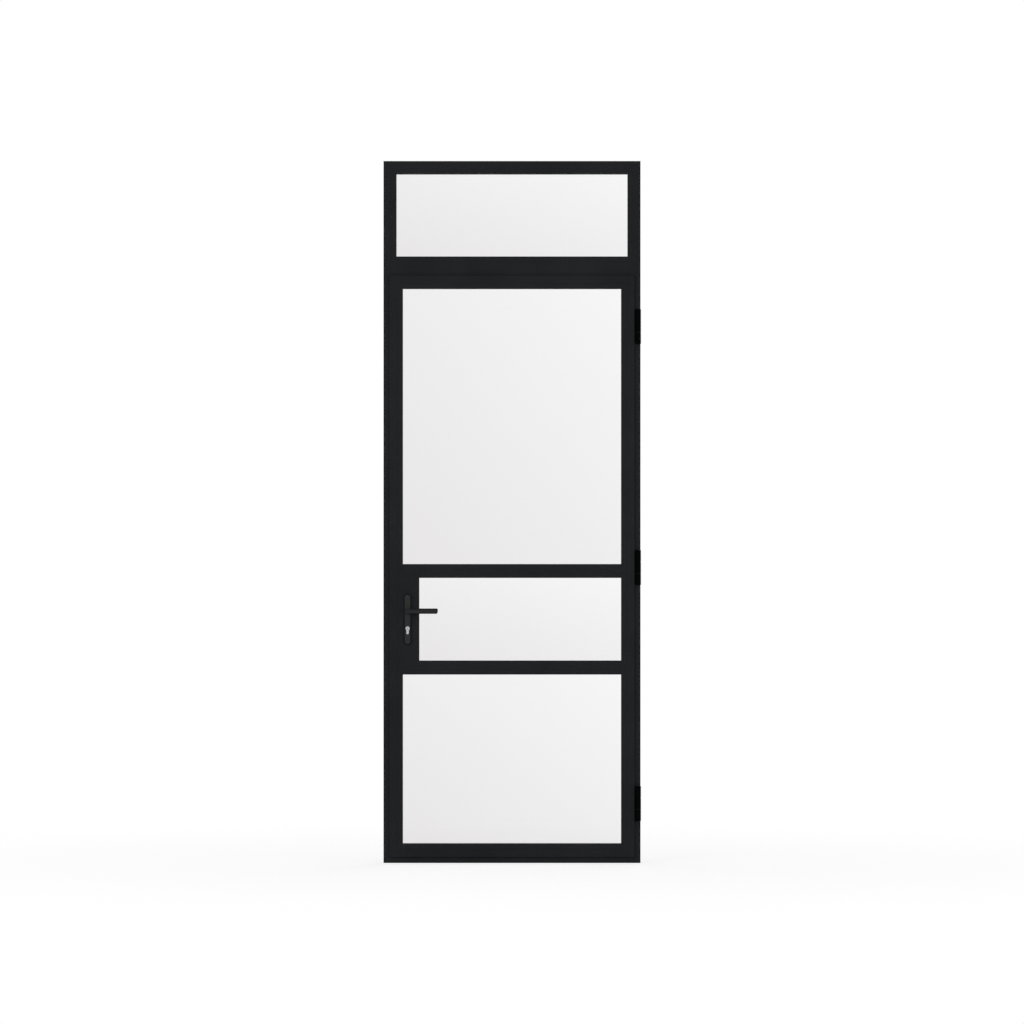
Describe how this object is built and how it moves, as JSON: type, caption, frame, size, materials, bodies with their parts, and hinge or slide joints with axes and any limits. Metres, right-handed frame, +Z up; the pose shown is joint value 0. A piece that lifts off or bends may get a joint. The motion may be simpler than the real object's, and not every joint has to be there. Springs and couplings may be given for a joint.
{
  "type": "glazed aluminium door",
  "caption": "Dark aluminium side-hung door with clear glass panes, mid rails and lock panel, in its own frame with a fixed toplight, barrel hinges, lever handle and cylinder lock.",
  "frame": {"origin": "middle of the sill's underside, at the frame's mid depth", "axes": "+X to the right seen from the pull side (hinge side), +Y through the door away from the pull side, +Z up"},
  "size_m": [1.0817, 0.16, 2.95],
  "materials": {
    "coat": "fine-textured anthracite powder coat, matte",
    "handle_black": "satin black",
    "hinge_black": "satin black",
    "steel": "zinc-plated steel",
    "nickel": "satin nickel on brass",
    "gasket": "black EPDM, matte",
    "glass": "clear float glass",
    "nylon": "black nylon",
    "mill_aluminium": "mill-finish aluminium"
  },
  "bodies": {
    "frame": {"jamb_lock_side": "coat", "jamb_hinge_side": "coat", "frame_head": "coat", "frame_sill": "coat", "transom": "coat", "frame_cleats": "mill_aluminium", "stop_gasket": "gasket", "toplight_glass": "glass", "toplight_beads": "coat", "toplight_gaskets": "gasket", "toplight_setting_blocks": "nylon", "hinge_backing_plates": "steel", "strike_screws": "steel", "strike_plate": "steel", "hinge_lower_frame_knuckles": "hinge_black", "hinge_lower_pin": "steel", "hinge_middle_frame_knuckles": "hinge_black", "hinge_middle_pin": "steel", "hinge_upper_frame_knuckles": "hinge_black", "hinge_upper_pin": "steel"},
    "leaf": {"stile_lock_side": "coat", "stile_hinge_side": "coat", "leaf_top_rail": "coat", "leaf_bottom_rail": "coat", "mid_rail_lower": "coat", "mid_rail_upper": "coat", "lock_post": "coat", "leaf_cleats": "mill_aluminium", "overlap_gasket": "gasket", "leaf_setting_blocks": "nylon", "hinge_bushes": "nylon", "leaf_fitting_screws": "steel", "lock_faceplate": "steel", "lock_case": "steel", "cylinder_body": "nickel", "cylinder_screw": "steel", "handle_plate_front": "handle_black", "handle_plate_rear": "handle_black", "handle_plate_screws": "hinge_black", "upper_glass": "glass", "upper_beads": "coat", "upper_gaskets": "gasket", "middle_glass": "glass", "middle_beads": "coat", "middle_gaskets": "gasket", "lower_glass": "glass", "lower_beads": "coat", "lower_gaskets": "gasket", "hinge_lower_leaf_knuckle": "hinge_black", "hinge_middle_leaf_knuckle": "hinge_black", "hinge_upper_leaf_knuckle": "hinge_black"},
    "handle": {"lever_front": "handle_black", "lever_rear": "handle_black", "spindle": "steel", "lock_follower": "steel"},
    "latch": {"latch_bolt": "steel"},
    "deadbolt": {"deadbolt": "steel"},
    "plug_front": {"cylinder_plug_front": "nickel", "cylinder_cam": "steel"},
    "plug_rear": {"cylinder_plug_rear": "nickel"}
  },
  "joints": [
    {"name": "leaf_swing", "type": "hinge", "parent": "frame", "child": "leaf", "pos_m": [0.5297, -0.0384, 1.242], "axis": [0, 0, 1], "range_deg": [0, 170]},
    {"name": "handle_turn", "type": "hinge", "parent": "leaf", "child": "handle", "pos_m": [-0.4385, -0.0093, 1.058], "axis": [0, 1, 0], "range_deg": [0, 40], "stiffness_Nm_per_rad": 2, "springref_deg": -34.38},
    {"name": "latch_slide", "type": "slide", "parent": "leaf", "child": "latch", "axis": [1, 0, 0], "range_m": [0, 0.012]},
    {"name": "cylinder_turn", "type": "hinge", "parent": "leaf", "child": "plug_front", "pos_m": [-0.4385, -0.0093, 0.986], "axis": [0, 1, 0], "range_deg": [0, 360]},
    {"name": "deadbolt_slide", "type": "slide", "parent": "leaf", "child": "deadbolt", "axis": [-1, 0, 0], "range_m": [0, 0.02]},
    {"name": "cylinder_rear_turn", "type": "hinge", "parent": "leaf", "child": "plug_rear", "pos_m": [-0.4385, -0.0093, 0.986], "axis": [0, 1, 0], "range_deg": [0, 360]}
  ],
  "couplings": [
    {"joint": "latch_slide", "follows": "handle_turn", "m_per_rad": 0.017189},
    {"joint": "cylinder_turn", "follows": "deadbolt_slide", "rad_per_m": 314.16}
  ]
}
